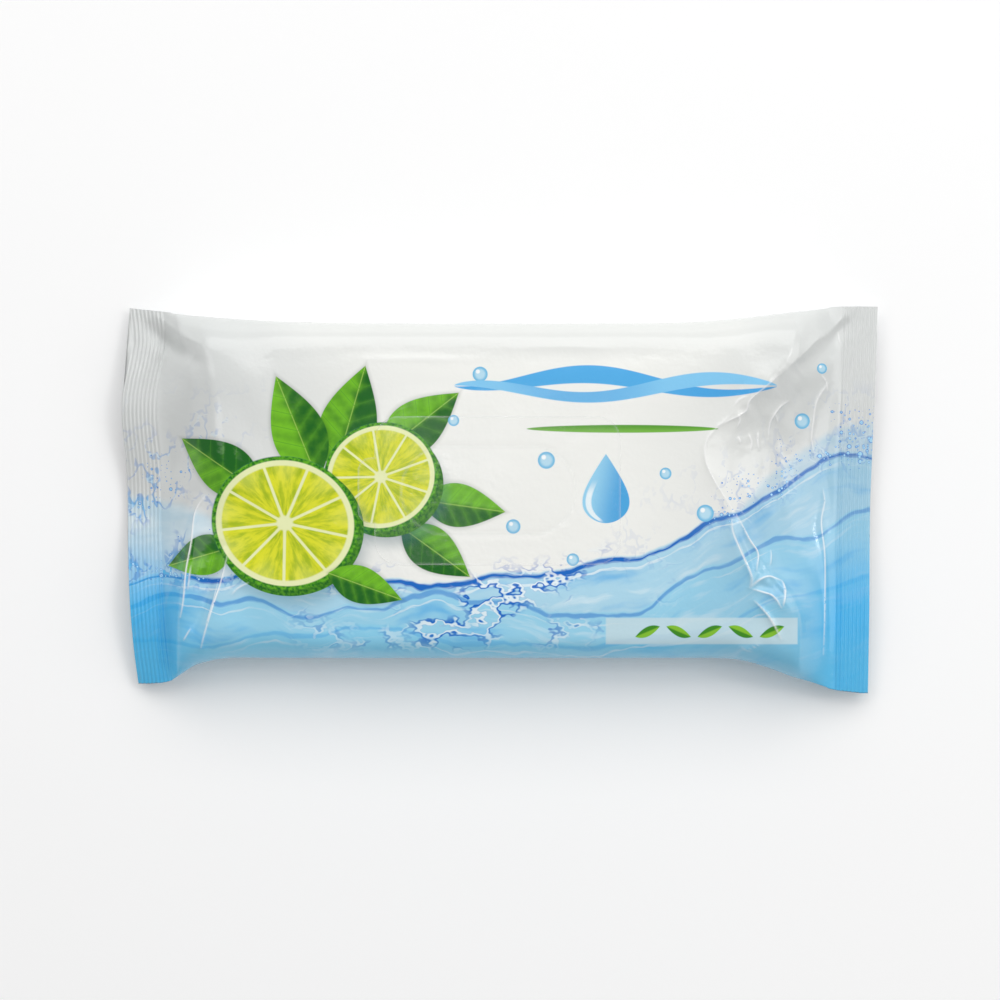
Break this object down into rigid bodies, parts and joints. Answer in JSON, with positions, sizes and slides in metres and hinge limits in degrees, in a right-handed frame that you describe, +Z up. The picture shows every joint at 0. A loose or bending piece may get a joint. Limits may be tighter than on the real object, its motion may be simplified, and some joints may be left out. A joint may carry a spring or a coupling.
{
  "type": "wet wipes pack",
  "caption": "Sealed soft film pack of wet wipes with crimped end seals, a seam down the back and a clear resealable label over a cut opening.",
  "frame": {"origin": "on the table plane, under the middle of the pack's outline as it lies on its back", "axes": "+X along the pack from the left end seal to the right one, +Y across it, +Z up out of the printed top"},
  "size_m": [0.231, 0.1182, 0.0253],
  "materials": {
    "printed_film": "glossy printed laminate film, white above and blue below",
    "clear_label": "clear glossy self-adhesive film"
  },
  "bodies": {
    "root": {"pouch": "printed_film", "reseal_label": "clear_label"}
  },
  "joints": []
}
